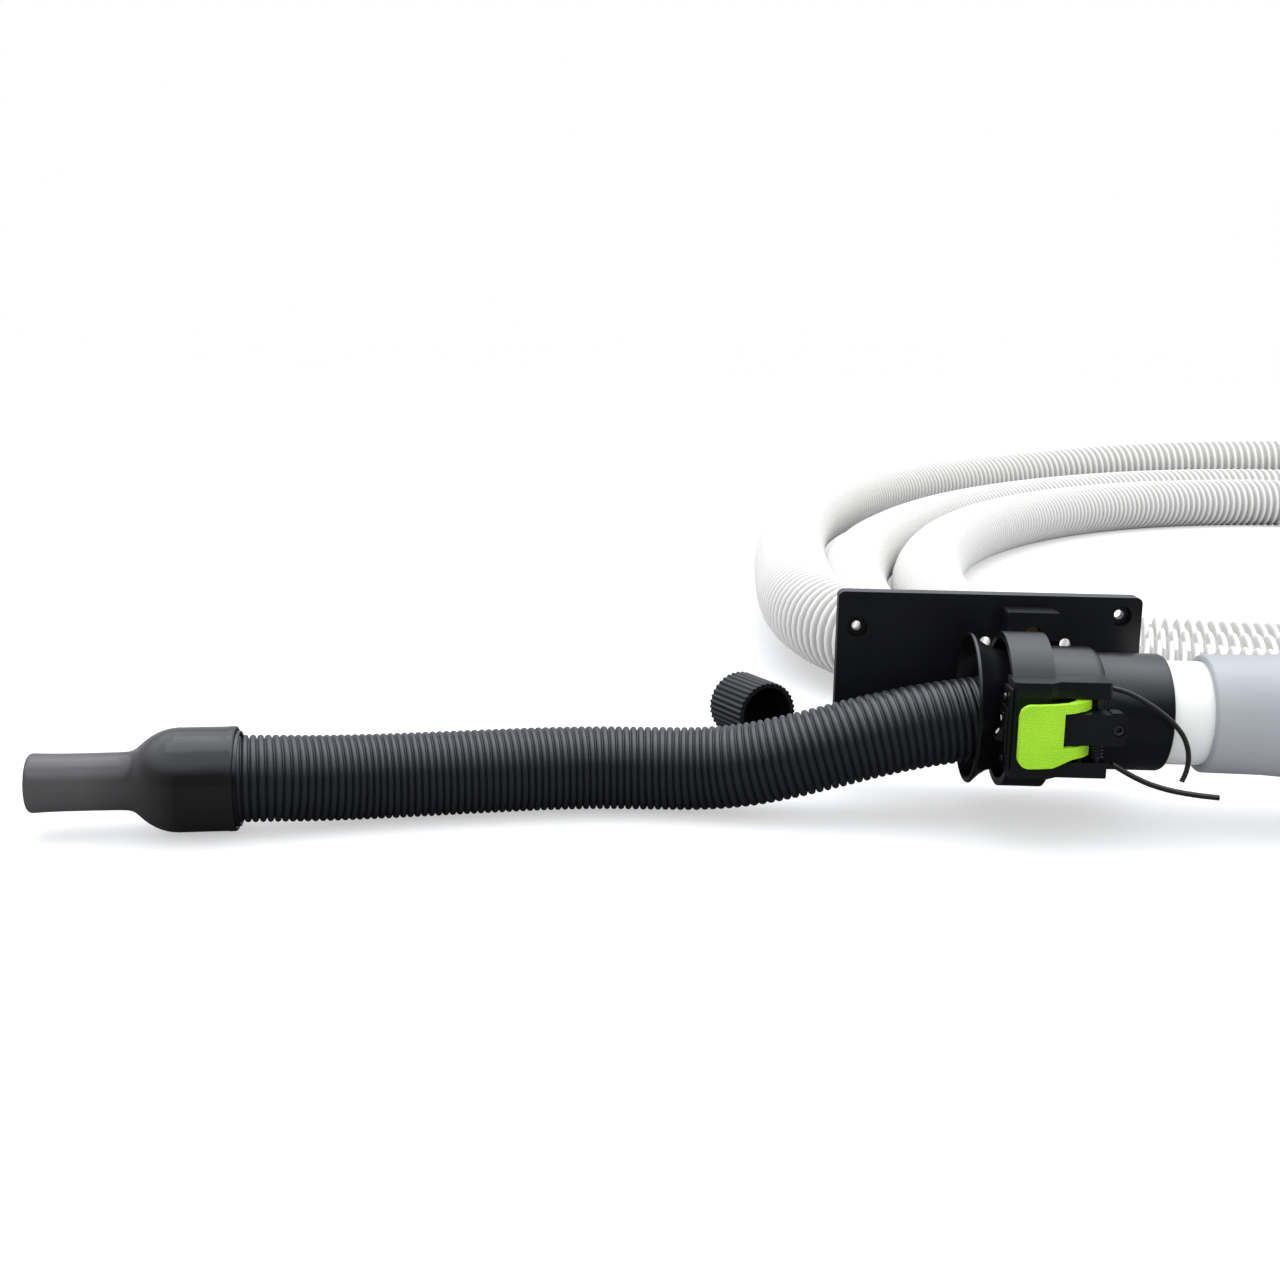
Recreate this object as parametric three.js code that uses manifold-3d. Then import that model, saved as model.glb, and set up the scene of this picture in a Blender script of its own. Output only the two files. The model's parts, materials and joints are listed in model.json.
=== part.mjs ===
// Retractable vacuum hose with its inlet, brake latch, rocker switch and storage hose.
// Millimetres, +Z up. The inlet's tube runs along X, the hose leaves it towards -X, and the
// mounting plate is upright behind the tube. Inside the group X is measured from the plate's middle,
// Y from its front face and Z from the floor. The group is then moved in X and Y so that the box
// around the rigid nodes is centred on the origin, to the nearest tenth.
import * as THREE from 'three';
import { mergeVertices } from 'three/addons/utils/BufferGeometryUtils.js';
import Module from 'manifold-3d';

const wasm = await Module();
wasm.setup();
const { Manifold, Mesh: SolidMesh } = wasm;

// ---- driving dimensions ------------------------------------------------------------------
const GAP = 0.3;
const AXIS_Y = -40;
const AXIS_Z = 53;
const ROUND = 60;
const COARSE = 36;
const PIPE_RADIUS = 24.13;
const HOSE_RADIUS = 19.6;
const HOSE_BORE = 17;
const STORE_RADIUS = 29;
const STORE_BORE = 26.5;
const PLATE = { width: 147, bottom: 20, top: 100, depth: 10, wall: 3, corner: 3 };

// ---- materials ---------------------------------------------------------------------------
function material(color, roughness, metalness = 0) {
  return () => new THREE.MeshStandardMaterial({ color, roughness, metalness });
}

const blackPlastic = material(0x17191c, 0.5);
const glossBlack = material(0x101113, 0.3);
const limePlastic = material(0x84c91c, 0.55);
const whitePipe = material(0xf1f1ee, 0.35);
const whiteHose = material(0xe6e6e2, 0.5);
const greyPlastic = material(0x8b9098, 0.5);
const smokeVinyl = material(0x3c3d3d, 0.25);
const hoseBlack = material(0x1c2023, 0.4);
const blackRubber = material(0x131313, 0.8);
const darkSteel = material(0x3a3d42, 0.35, 0.9);
const brass = material(0xa98242, 0.35, 0.9);

// ---- solid helpers -----------------------------------------------------------------------
function solid(geometry) {
  const bare = geometry.clone();
  bare.deleteAttribute('normal');
  bare.deleteAttribute('uv');
  const merged = mergeVertices(bare, 1e-4);
  const points = new Float32Array(merged.attributes.position.array);
  const faces = new Uint32Array(merged.index.array);
  return new Manifold(new SolidMesh({ numProp: 3, vertProperties: points, triVerts: faces }));
}

function geometryOf(manifold) {
  const mesh = manifold.getMesh();
  const geometry = new THREE.BufferGeometry();
  geometry.setAttribute('position', new THREE.BufferAttribute(new Float32Array(mesh.vertProperties), 3));
  geometry.setIndex(new THREE.BufferAttribute(new Uint32Array(mesh.triVerts), 1));
  geometry.computeVertexNormals();
  return geometry;
}

function join(...parts) {
  return parts.reduce((whole, part) => whole.add(part));
}

function cut(body, ...tools) {
  return tools.reduce((rest, tool) => rest.subtract(tool), body);
}

// A box from its lowest to its highest corner.
function box(x0, x1, y0, y1, z0, z1) {
  const geometry = new THREE.BoxGeometry(x1 - x0, y1 - y0, z1 - z0);
  return solid(geometry.translate((x0 + x1) / 2, (y0 + y1) / 2, (z0 + z1) / 2));
}

// A solid of revolution about X, from [radius, x] pairs, about the tube's axis unless told.
function turned(profile, y = AXIS_Y, z = AXIS_Z, segments = ROUND) {
  const points = profile.map(([radius, x]) => new THREE.Vector2(radius, x));
  if (THREE.ShapeUtils.area(points) < 0) {
    points.reverse();
  }
  points.push(points[0].clone());
  const geometry = new THREE.LatheGeometry(points, segments);
  return solid(geometry.rotateZ(-Math.PI / 2).translate(0, y, z));
}

function rodX(radius, x0, x1, y, z, segments = 24) {
  const geometry = new THREE.CylinderGeometry(radius, radius, x1 - x0, segments);
  return solid(geometry.rotateZ(Math.PI / 2).translate((x0 + x1) / 2, y, z));
}

function rodY(radius, y0, y1, x, z, segments = 24) {
  const geometry = new THREE.CylinderGeometry(radius, radius, y1 - y0, segments);
  return solid(geometry.translate(x, (y0 + y1) / 2, z));
}

function rodZ(radius, z0, z1, x, y, segments = 20) {
  const geometry = new THREE.CylinderGeometry(radius, radius, z1 - z0, segments);
  return solid(geometry.rotateX(Math.PI / 2).translate(x, y, (z0 + z1) / 2));
}

// A prism standing along Z over an outline in X and Y.
function prismZ(outline, z0, z1) {
  const shape = new THREE.Shape(outline.map(([x, y]) => new THREE.Vector2(x, y)));
  const geometry = new THREE.ExtrudeGeometry(shape, { depth: z1 - z0, bevelEnabled: false });
  return solid(geometry.translate(0, 0, z0));
}

// A prism along Y over an outline in X and Z.
function prismY(outline, y0, y1) {
  const shape = new THREE.Shape(outline.map(([x, z]) => new THREE.Vector2(x, z)));
  const geometry = new THREE.ExtrudeGeometry(shape, { depth: y1 - y0, bevelEnabled: false });
  return solid(geometry.rotateX(Math.PI / 2).translate(0, y1, 0));
}

function roundedRectangle(x0, x1, z0, z1, radius) {
  const shape = new THREE.Shape();
  shape.moveTo(x0 + radius, z0);
  shape.lineTo(x1 - radius, z0);
  shape.absarc(x1 - radius, z0 + radius, radius, -Math.PI / 2, 0);
  shape.lineTo(x1, z1 - radius);
  shape.absarc(x1 - radius, z1 - radius, radius, 0, Math.PI / 2);
  shape.lineTo(x0 + radius, z1);
  shape.absarc(x0 + radius, z1 - radius, radius, Math.PI / 2, Math.PI);
  shape.lineTo(x0, z0 + radius);
  shape.absarc(x0 + radius, z0 + radius, radius, Math.PI, Math.PI * 1.5);
  return shape;
}

// A slab with round corners in X and Z, between two values of Y.
function slab(x0, x1, z0, z1, radius, y0, y1) {
  const shape = roundedRectangle(x0, x1, z0, z1, radius);
  const geometry = new THREE.ExtrudeGeometry(shape, { depth: y1 - y0, bevelEnabled: false, curveSegments: 6 });
  return solid(geometry.rotateX(Math.PI / 2).translate(0, y1, 0));
}

function roundTube(points, radius, sides, steps) {
  const corners = Array.from({ length: sides }, (_, i) => {
    const angle = (2 * Math.PI * i) / sides;
    return new THREE.Vector2(radius * Math.cos(angle), radius * Math.sin(angle));
  });
  const path = new THREE.CatmullRomCurve3(points.map((p) => new THREE.Vector3(...p)));
  const settings = { steps, extrudePath: path, bevelEnabled: false };
  return solid(new THREE.ExtrudeGeometry(new THREE.Shape(corners), settings));
}

// A hose with open ends: its bore runs a little past both ends of the route.
function openHose(route, radius, bore, sides, steps) {
  const start = route[0].map((value, axis) => 1.2 * value - 0.2 * route[1][axis]);
  const end = route.at(-1).map((value, axis) => 1.2 * value - 0.2 * route.at(-2)[axis]);
  const inside = [start, ...route.slice(1, -1), end];
  return cut(roundTube(route, radius, sides, steps), roundTube(inside, bore, sides, steps));
}

const model = new THREE.Group();
model.name = 'retractable_vacuum_hose';

function addNode(name, body, makeMaterial) {
  const mesh = new THREE.Mesh(geometryOf(body), makeMaterial());
  mesh.name = name;
  model.add(mesh);
}

// ---- mounting plate ------------------------------------------------------------------------
// A shallow tray with a screw hole near each corner, and a post that carries the latch's ring.
const POST = { left: 5.5, right: 31, top: 94.5, bottom: 25, reach: 17 };
const RING = { left: -1, right: 18, inner: 32.6, outer: 36, collar: 14 };
const SCREW_HOLES = [[-64, 82.5], [63.5, 91], [-64, 29], [63.5, 37.5]];
const SPARE_HOLES = [[-1.3, 76.5], [37.5, 76.5]];
const POST_SCREW = { x: 18.5, z: 83.5, bore: 4.3 };

function mountPlate() {
  const half = PLATE.width / 2;
  const { bottom, top, depth, wall, corner } = PLATE;
  const shell = slab(-half, half, bottom, top, corner, 0, depth);
  const hollow = slab(-half + wall, half - wall, bottom + wall, top - wall, 1, wall, depth + 1);
  const pads = SCREW_HOLES.map(([x, z]) => rodY(7.4, wall - 0.5, depth, x, z));
  const innerPost = box(POST.left + 1, POST.right - 1, wall - 0.5, depth, POST.bottom, POST.top);
  const post = slab(POST.left, POST.right, POST.bottom, POST.top, 1.5, -POST.reach, 1);
  const saddle = rodX(RING.outer + GAP, RING.left - 20, RING.right + 30, AXIS_Y, AXIS_Z, ROUND);
  const bores = SCREW_HOLES.map(([x, z]) => rodY(2.3, -1, depth + 1, x, z));
  const sinks = SCREW_HOLES.map(([x, z]) => rodY(5.1, -1, 4.2, x, z));
  const spares = SPARE_HOLES.map(([x, z]) => rodY(2.7, -1, depth + 1, x, z));
  const headBore = rodY(POST_SCREW.bore, -POST.reach - 1, -6, POST_SCREW.x, POST_SCREW.z);
  const shankBore = rodY(2.3, -7, depth + 1, POST_SCREW.x, POST_SCREW.z);
  const tray = join(cut(shell, hollow), ...pads, innerPost, cut(post, saddle));
  return cut(tray, ...bores, ...sinks, ...spares, headBore, shankBore);
}

function postScrew() {
  const { x, z, bore } = POST_SCREW;
  const head = rodY(bore - 0.4, -10, -6 - GAP, x, z);
  const shank = rodY(1.9, -6 - GAP - 0.5, PLATE.depth - 0.5, x, z);
  const socket = rodY(1.6, -11, -8, x, z, 6);
  return cut(join(head, shank), socket);
}

addNode('mount_plate', mountPlate(), blackPlastic);
addNode('post_screw', postScrew(), brass);

// ---- inlet -----------------------------------------------------------------------------------
// The bell mouth and its tube slide into the ring; the barrel behind them holds the pipe.
const BARREL = { start: 18.4, step: 42.6, end: 73.3, thick: 29.7, sleeve: 27.2 };
const PASSAGE = 23;
const PIPE = { start: 50.3, end: 103.7, inner: 21.9 };
const PAD = { x: 43.2, z: 54.65 };

function bellMouth() {
  return turned([
    [35, -15.5], [35.2, -14.6], [33.6, -13], [31.4, -10.6], [29.4, -7.4], [28.1, -3.6], [27.5, 0],
    [27.5, BARREL.start - GAP], [25, BARREL.start - GAP], [25, 0], [25.7, -4], [27.2, -8.4],
    [29.4, -12], [32.6, -15], [33.6, -15.9], [34.5, -15.9],
  ]);
}

function inletBarrel() {
  const { start, step, end, thick, sleeve } = BARREL;
  const body = turned([
    [thick, start], [thick, step - 4], [thick - 0.6, step - 1.8], [thick - 2, step - 0.3],
    [sleeve, step], [sleeve, end - 2.2], [sleeve - 0.7, end - 0.6], [sleeve - 2.2, end],
    [PIPE_RADIUS + GAP, end], [PIPE_RADIUS + GAP, PIPE.start - GAP], [PASSAGE, PIPE.start - GAP],
    [PASSAGE, start],
  ]);
  const padBore = rodY(3.4, AXIS_Y - 40, AXIS_Y - 15, PAD.x, PAD.z);
  const sealGroove = turned([[PIPE_RADIUS, 60], [25.8, 60], [25.8, 63], [PIPE_RADIUS, 63]]);
  return cut(body, padBore, sealGroove);
}

function pipeSeal() {
  return turned([
    [PIPE_RADIUS + GAP, 60.4], [25.4, 60.8], [25.4, 62.2], [PIPE_RADIUS + GAP, 62.6],
  ]);
}

function pipeStub() {
  return turned([
    [PIPE_RADIUS, PIPE.start], [PIPE_RADIUS, PIPE.end], [PIPE.inner, PIPE.end], [PIPE.inner, PIPE.start],
  ]);
}

const CUFF = { start: 91.2, end: 190 };

function pipeCuff() {
  return turned([
    [26.6, CUFF.start], [27.5, CUFF.start + 0.9], [27.9, 120], [30, 150], [31.6, 152], [31.6, CUFF.end - 1],
    [31, CUFF.end], [27, CUFF.end], [27, 156], [PIPE.inner, 120], [PIPE.inner, PIPE.end + GAP],
    [PIPE_RADIUS + GAP, PIPE.end + GAP], [PIPE_RADIUS + GAP, CUFF.start],
  ]);
}

addNode('bell_mouth', bellMouth(), glossBlack);
addNode('inlet_barrel', inletBarrel(), blackPlastic);
addNode('pipe_seal', pipeSeal(), blackRubber);
addNode('pipe_stub', pipeStub(), whitePipe);
addNode('pipe_cuff', pipeCuff(), greyPlastic);

// ---- latch housing ---------------------------------------------------------------------------
// A ring clamps the tube, and a block in front of it holds the switch and two arms with the pins.
const HOUSE = { left: -2.5, face: -82, armFace: -78, end: 41, low: 31, high: 74.5 };
const RECESS = { left: 13.5, low: 38, high: 67 };
const PIN_Y = -73.5;
const SHAFT = { x: 37, radius: 1.4 };
const PADDLE_PIN = { x: 29.5, radius: 1.25 };
const SWITCH = { y0: -80.2, y1: -69.2, low: 43.6, high: 61.6, depth: 9.5 };
const SWITCH_SCREWS = [38.8, 66.4];
const SWITCH_SCREW_Y = -74.6;

function latchHousing() {
  const { left, face, armFace, end, low, high } = HOUSE;
  const outline = [
    [left, face + 1.2], [left + 1.2, face], [RECESS.left, face], [RECESS.left + 5, armFace],
    [end - 1, armFace], [end, armFace + 1], [end, -60], [left, -52],
  ];
  const block = prismZ(outline, low, high);
  const recess = box(RECESS.left, end + 1, face - 5, -40, RECESS.low, RECESS.high);
  const ring = turned([
    [RING.outer, RING.left], [RING.outer, RING.right], [27.9, RING.right], [27.9, RING.collar],
    [RING.inner, RING.collar], [RING.inner, RING.left],
  ]);
  const frontRoom = rodX(RING.inner, left - 5, RING.collar, AXIS_Y, AXIS_Z, ROUND);
  const ringRoom = rodX(27.9, RING.collar - 1, RING.right + 1, AXIS_Y, AXIS_Z, ROUND);
  const rearRoom = rodX(BARREL.thick + 0.4, RING.right, end + 5, AXIS_Y, AXIS_Z, ROUND);
  const behind = box(left - 5, end + 5, AXIS_Y - 18, 0, low - 5, high + 5);
  const switchRoom = box(left - 5, SWITCH.depth + GAP, SWITCH.y0 - GAP, -60, SWITCH.low - GAP, SWITCH.high + GAP);
  const screwRooms = SWITCH_SCREWS.map((z) => rodX(0.8, left - 2, left + 6, SWITCH_SCREW_Y, z, 16));
  const shaftBore = rodZ(SHAFT.radius + GAP, low + 2, high - 2, SHAFT.x, PIN_Y);
  const pinBore = rodZ(PADDLE_PIN.radius + GAP, low + 2, high - 2, PADDLE_PIN.x, PIN_Y);
  const arms = cut(block, recess, behind, frontRoom, ringRoom, rearRoom);
  return cut(join(arms, ring), switchRoom, ...screwRooms, shaftBore, pinBore);
}

addNode('latch_housing', latchHousing(), blackPlastic);
addNode('lever_shaft', rodZ(SHAFT.radius, HOUSE.low + 2.3, HOUSE.high - 2.3, SHAFT.x, PIN_Y), darkSteel);
addNode('paddle_pin', rodZ(PADDLE_PIN.radius, HOUSE.low + 2.3, HOUSE.high - 2.3, PADDLE_PIN.x, PIN_Y), darkSteel);

// ---- switch ------------------------------------------------------------------------------------
const SWITCH_PLATE = { left: -4.4, right: -2.8, y0: -81.4, y1: -69, low: 35, high: 71.5 };
const ROCKER_PIVOT = { x: -0.8, z: 52.6, tip: 12 };

function switchPlate() {
  const { left, right, y0, y1, low, high } = SWITCH_PLATE;
  const plate = box(left, right, y0, y1, low, high);
  const window = box(left - 1, right + 1, SWITCH.y0 - GAP, y1 + 1, SWITCH.low - GAP, SWITCH.high + GAP);
  const screwHoles = SWITCH_SCREWS.map((z) => rodX(1.1, left - 1, right + 1, SWITCH_SCREW_Y, z, 16));
  return cut(plate, window, ...screwHoles);
}

function switchScrew(z) {
  const head = rodX(1.9, SWITCH_PLATE.left - GAP - 1, SWITCH_PLATE.left - GAP, SWITCH_SCREW_Y, z, 24);
  const shank = rodX(0.6, SWITCH_PLATE.left - GAP - 0.5, HOUSE.left + 5, SWITCH_SCREW_Y, z, 12);
  const crossA = box(-7, SWITCH_PLATE.left - GAP - 0.5, SWITCH_SCREW_Y - 1.2, SWITCH_SCREW_Y + 1.2, z - 0.3, z + 0.3);
  const crossB = box(-7, SWITCH_PLATE.left - GAP - 0.5, SWITCH_SCREW_Y - 0.3, SWITCH_SCREW_Y + 0.3, z - 1.2, z + 1.2);
  return cut(join(head, shank), crossA, crossB);
}

function switchBody() {
  const { y0, y1, low, high, depth } = SWITCH;
  const body = box(SWITCH_PLATE.left - 0.6, depth, y0, y1, low, high);
  const bezelX = SWITCH_PLATE.left - GAP;
  const bezel = box(bezelX - 0.9, bezelX, y0 - 0.9, y1 - 0.1, low - 1.2, high + 1.2);
  const well = box(bezelX - 2, 4.5, y0 + 1, y1 - 1, low + 1, high - 1);
  return cut(join(body, bezel), well);
}

// Drawn level about its pivot, then tipped so that the lower end stands out.
function switchRocker() {
  const outline = [[-7.4, 6.3], [-6.6, 6.5], [-1, 6.6], [2.4, 3.2], [2.4, -3.2], [-1, -6.6], [-6.6, -6.5], [-7.4, -6.3], [-5.2, 0]];
  const level = prismY(outline, SWITCH.y0 + 1.4, SWITCH.y1 - 1.4);
  return level.rotate([0, ROCKER_PIVOT.tip, 0]).translate([ROCKER_PIVOT.x, 0, ROCKER_PIVOT.z]);
}

addNode('switch_plate', switchPlate(), blackPlastic);
addNode('switch_screw_lower', switchScrew(SWITCH_SCREWS[0]), darkSteel);
addNode('switch_screw_upper', switchScrew(SWITCH_SCREWS[1]), darkSteel);
addNode('switch_body', switchBody(), blackPlastic);
addNode('switch_rocker', switchRocker(), glossBlack);

// ---- brake: paddle, lever, set screw and pad ---------------------------------------------------
const LEVER = { left: 19, right: 46.5, face: -84.5, back: -76.2, low: 47.6, high: 61.7 };
const LUG_RADIUS = 2.9;
const SET_SCREW = { radius: 2.5, socket: 1.45 };
const PADDLE = { low: 38.5, high: 66.6, slotLeft: 18.5 };

function brakePaddle() {
  const outline = [
    [-1.9, -90.4], [-1.2, -92.2], [0.6, -92.9], [8, -92], [16, -89.8], [23, -86.4], [29, -81.5], [32.6, -76.5],
    [32.9, -73.5], [32.2, -71.4], [30.6, -70.3], [28.4, -70.3], [26.8, -71.4], [26.1, -73.5],
    [25.3, -79], [20.4, -84.2], [14, -87], [7, -88.7], [0.6, -89.2], [-1, -89.3],
  ];
  const plate = prismZ(outline, PADDLE.low, PADDLE.high);
  const slot = box(PADDLE.slotLeft, 40, -100, -60, LEVER.low - 0.7, LEVER.high + 0.7);
  const legTop = prismY([[17, PADDLE.high + 1], [40, PADDLE.high + 1], [40, 65.9]], -100, -60);
  const legFoot = prismY([[11, PADDLE.low - 1], [40, PADDLE.low - 1], [40, 41.5], [23, 41.5]], -100, -60);
  const corners = [[PADDLE.high, 1], [PADDLE.low, -1]].map(([z, side]) => {
    const block = box(-4, 3.5, -100, -60, Math.min(z, z - side * 5.5), Math.max(z, z - side * 5.5));
    const round = rodY(5.5, -101, -59, 3.6, z - side * 5.5, 40);
    return cut(block, round);
  });
  const pinBore = rodZ(PADDLE_PIN.radius + GAP, 30, 80, PADDLE_PIN.x, PIN_Y);
  return cut(plate, slot, legTop, legFoot, ...corners, pinBore);
}

function brakeLever() {
  const { left, right, face, back, low, high } = LEVER;
  const bar = slab(left, right, low, high, 2.6, face, back);
  const nose = slab(right - 8.6, right + 0.6, low - 0.4, high + 0.6, 3.4, face + 0.9, back);
  const lug = rodZ(LUG_RADIUS, low + 0.6, high - 0.6, SHAFT.x, PIN_Y);
  const web = box(SHAFT.x - LUG_RADIUS, SHAFT.x + LUG_RADIUS, back - 1, PIN_Y, low + 0.6, high - 0.6);
  const pinNotch = rodZ(4.6, low - 2, high + 2, PADDLE_PIN.x, PIN_Y);
  const shaftBore = rodZ(SHAFT.radius + GAP, low - 3, high + 3, SHAFT.x, PIN_Y);
  const screwBore = rodY(SET_SCREW.radius + GAP, face - 2, back + 2, PAD.x, PAD.z);
  return cut(join(bar, nose, lug, web), pinNotch, shaftBore, screwBore);
}

function setScrew() {
  const body = rodY(SET_SCREW.radius, LEVER.face + 0.6, LEVER.back + 0.1, PAD.x, PAD.z, 24);
  const socket = rodY(SET_SCREW.socket, LEVER.face - 1, LEVER.face + 3.4, PAD.x, PAD.z, 6);
  return cut(body, socket);
}

function brakePad() {
  const head = rodY(2.7, -75.7, -71, PAD.x, PAD.z);
  const stem = rodY(3, -71.5, -60.4, PAD.x, PAD.z);
  return join(head, stem);
}

const SPRING = { turns: 5, radius: 2.7, low: 38.9, rise: 7.8, wire: 0.35 };

function returnSpring() {
  const { turns, radius, low, rise, wire } = SPRING;
  const count = 12 * turns + 1;
  const points = Array.from({ length: count }, (_, i) => {
    const part = i / (count - 1);
    const angle = 2 * Math.PI * turns * part;
    return [SHAFT.x + radius * Math.cos(angle), PIN_Y + radius * Math.sin(angle), low + rise * part];
  });
  return roundTube(points, wire, 6, 16 * turns);
}

addNode('brake_paddle', brakePaddle(), limePlastic);
addNode('brake_lever', brakeLever(), blackPlastic);
addNode('set_screw', setScrew(), darkSteel);
addNode('brake_pad', brakePad(), blackRubber);
addNode('return_spring', returnSpring(), darkSteel);

// ---- suction hose and nozzle ---------------------------------------------------------------------
const NOZZLE = { x: -346, y: -90.5, z: 23.7, turn: 10.5 };
const HOSE_ROUTE = [
  [86, -40, 52.4], [64, -40, 52.4], [42, -40, 52.3], [22, -40.2, 51.4], [2, -40.8, 49.6],
  [-18, -42, 47.2], [-38, -43.6, 44], [-58, -45.2, 39.6], [-78, -46.4, 34.2], [-98, -46.6, 28.6],
  [-118, -45.4, 23.8], [-138, -43.4, 20.9], [-162, -42.6, 20], [-188, -44.2, 20], [-212, -48.4, 20],
  [-236, -54.4, 20], [-262, -61.6, 20], [-288, -69.6, 20.3], [-312, -78.9, 21.5], [-332, -86.4, 23],
  [-350, -91.1, 23.6], [-369, -94.7, 23.7],
];

function alongNozzle(body) {
  return body.rotate([0, 0, NOZZLE.turn]).translate([NOZZLE.x, NOZZLE.y, NOZZLE.z]);
}

// Distances run from the open end of the bell, at 0, to the tip, at -89.
function nozzleCuff() {
  return alongNozzle(turned([
    [22.6, 0], [23.4, -0.8], [23.5, -3.4], [23.3, -4], [23.3, -25], [23.1, -28], [22.2, -32], [20.4, -36],
    [18, -39.5], [15.6, -42], [14.2, -43.6], [13.4, -45], [12.9, -47], [12.8, -50], [12.8, -80], [13.1, -86],
    [13.1, -88], [12.4, -89], [11.2, -89], [10.9, -88], [10.6, -80], [10.6, -47], [11.4, -44.4], [13.4, -41],
    [15.8, -37.6], [17.2, -34], [17.4, -31], [17.4, -27], [21.8, -27], [21.8, 0],
  ], 0, 0, COARSE));
}

function hoseEndCollar() {
  return alongNozzle(turned([[21.3, 1.6], [21.3, -13], [20.5, -13], [20.5, 1.6]], 0, 0, COARSE));
}

addNode('suction_hose', openHose(HOSE_ROUTE, HOSE_RADIUS, HOSE_BORE, 12, 36), hoseBlack);
addNode('hose_end_collar', hoseEndCollar(), glossBlack);
addNode('nozzle_cuff', nozzleCuff(), smokeVinyl);

// ---- storage hose ------------------------------------------------------------------------------
// Three turns lie one inside and partly upon the other, and one ring stands in for them all. Each
// corner of the ring is a quarter of an oval, the squarer the higher its power.
const COIL = { x: 594, y: 350, height: 96, skin: 3 };
const OUTER_TURN = { left: -79, right: 1264, near: 60, far: 1352 };
const INNER_TURN = { left: 33, right: 1146, near: 170, far: 1223 };
const CORNER_POWERS = { nearRight: 2.4, farRight: 2, farLeft: 1.95, nearLeft: 3.5 };
const STORE_ROUTE = [
  [190.3, -40, 53], [204, -40, 53], [222, -40, 52.4], [242, -40, 50.4], [262, -40, 47], [284, -40, 42.6],
  [306, -40, 38.2], [328, -40, 34.4], [352, -40, 31.4], [378, -40, 29.6], [406, -40, 29], [440, -40, 29],
  [480, -40, 29], [520, -40, 29], [560, -40, 29], [594, -40, 29],
];

// One closed outline round a turn's centre line, moved outwards by a distance.
function turnOutline(path, turn, outwards) {
  const steps = 60;
  const points = Array.from({ length: steps }, (_, i) => {
    const angle = (2 * Math.PI * i) / steps;
    const c = Math.cos(angle);
    const s = Math.sin(angle);
    const power = CORNER_POWERS[(s < 0 ? 'near' : 'far') + (c < 0 ? 'Left' : 'Right')];
    const across = Math.abs(c) ** (2 / power);
    const along = Math.abs(s) ** (2 / power);
    return new THREE.Vector2(
      COIL.x + (c < 0 ? turn.left - outwards - COIL.x : turn.right + outwards - COIL.x) * across,
      COIL.y + (s < 0 ? turn.near - outwards - COIL.y : turn.far + outwards - COIL.y) * along,
    );
  });
  return path.setFromPoints(points);
}

function coilRing(thinner, height) {
  const shape = turnOutline(new THREE.Shape(), OUTER_TURN, STORE_RADIUS - thinner);
  shape.holes.push(turnOutline(new THREE.Path(), INNER_TURN, thinner - STORE_RADIUS));
  return solid(new THREE.ExtrudeGeometry(shape, { depth: height, bevelEnabled: false }));
}

// A channel open at the bottom, about as heavy as the thin-walled hose it stands in for.
function storageCoil() {
  const { height, skin } = COIL;
  return cut(coilRing(0, height), coilRing(skin, height - skin + 1).translate([0, 0, -1]));
}

addNode('storage_hose_run', openHose(STORE_ROUTE, STORE_RADIUS, STORE_BORE, 12, 20), whiteHose);
addNode('storage_hose_coil', storageCoil(), whiteHose);

// ---- switch leads --------------------------------------------------------------------------------
const LEAD_RADIUS = 1.25;
const UPPER_LEAD = [
  [41.3, -72, 71], [45, -72.2, 70.4], [49, -72.3, 69.2], [53, -72.3, 67.4], [57, -72.1, 65.2], [61, -71.9, 62.8],
  [65, -71.6, 60], [69, -71.2, 56.8], [72.6, -70.9, 53.2], [75.6, -70.6, 49.2], [77.6, -70.4, 44.8],
  [78.6, -70.3, 40.4], [78.6, -70.3, 36], [77.8, -70.4, 32], [76.4, -70.6, 28.4],
];
const LOWER_LEAD = [
  [41.3, -72, 37], [44.6, -72.2, 36], [48.4, -72.6, 34], [52.4, -73, 31.8], [56.6, -73.4, 29.8], [61, -73.8, 28],
  [65.6, -74, 26.6], [70.4, -74.2, 25.4], [75.2, -74.2, 24.5], [80, -74.2, 23.8], [84.6, -74.1, 23.2],
  [89, -74, 22.8], [92.4, -74, 22.5],
];

addNode('lead_upper', roundTube(UPPER_LEAD, LEAD_RADIUS, 8, 22), blackRubber);
addNode('lead_lower', roundTube(LOWER_LEAD, LEAD_RADIUS, 8, 20), blackRubber);

// ---- loose knurled cap -----------------------------------------------------------------------------
const CAP = { x: -111, y: 90, radius: 18, length: 32, ribs: 36, turn: -60 };

function knurledCap() {
  const { radius, length, ribs, turn } = CAP;
  const shape = new THREE.Shape(Array.from({ length: 4 * ribs }, (_, i) => {
    const angle = (2 * Math.PI * i) / (4 * ribs);
    const reach = i % 4 < 2 ? radius : radius - 0.7;
    return new THREE.Vector2(reach * Math.cos(angle), reach * Math.sin(angle));
  }));
  const grip = new THREE.ExtrudeGeometry(shape, { depth: length, bevelEnabled: false });
  const body = solid(grip.rotateY(Math.PI / 2).translate(-length / 2, 0, 0));
  const mouth = rodX(radius - 3, -length / 2 + 3, length / 2 + 1, 0, 0, 48);
  return cut(body, mouth).rotate([0, 0, turn]).translate([CAP.x, CAP.y, radius]);
}

addNode('knurled_cap', knurledCap(), blackPlastic);

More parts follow.
